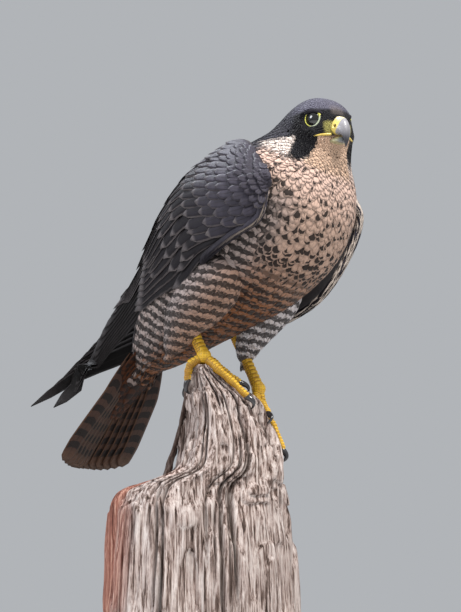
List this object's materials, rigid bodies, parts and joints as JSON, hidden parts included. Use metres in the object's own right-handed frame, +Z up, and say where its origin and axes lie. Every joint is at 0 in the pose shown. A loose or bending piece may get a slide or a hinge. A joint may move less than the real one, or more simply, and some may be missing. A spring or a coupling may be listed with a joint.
{
  "type": "peregrine falcon",
  "caption": "Life-size still model of a perched peregrine falcon gripping the broken top of a weathered trunk, held by a plain base with short rods",
  "frame": {"origin": "centre of the underside of the stand's base", "axes": "+Z up, the bird's body faces +X, its left side is +Y"},
  "size_m": [0.3371, 0.2, 0.5151],
  "materials": {
    "breast_feather": "matt feather, cream to rufous with black drops and bars",
    "hood_feather": "matt slate-grey crown and black face",
    "wing_feather": "slate-brown feather with pale fringes, low sheen",
    "tail_feather": "dark brown feather with paler bands, low sheen",
    "bill_horn": "blue-grey horn darkening to the tip, yellow cere",
    "eye": "dark, wet and glossy",
    "leg_skin": "yellow scaled skin, slightly waxy",
    "claw": "black horn, polished",
    "weathered_wood": "silver-grey weathered and splintered, rough",
    "stand_base": "satin black paint",
    "stand_rod": "brushed"
  },
  "bodies": {
    "root": {"torso": "breast_feather", "neck": "breast_feather", "head": "hood_feather", "bill_upper": "bill_horn", "bill_lower": "bill_horn", "eye_left": "eye", "eye_right": "eye", "wing_left": "wing_feather", "wing_right": "wing_feather", "tail": "tail_feather", "thigh_left": "breast_feather", "thigh_right": "breast_feather", "tarsus_left": "leg_skin", "tarsus_right": "leg_skin", "foot_left": "leg_skin", "foot_right": "leg_skin", "claw_left_inner": "claw", "claw_left_middle": "claw", "claw_left_outer": "claw", "claw_left_rear": "claw", "claw_right_inner": "claw", "claw_right_middle": "claw", "claw_right_outer": "claw", "claw_right_rear": "claw", "perch_trunk": "weathered_wood", "stand_base": "stand_base", "stand_rod_1": "stand_rod", "stand_rod_2": "stand_rod"}
  },
  "joints": []
}
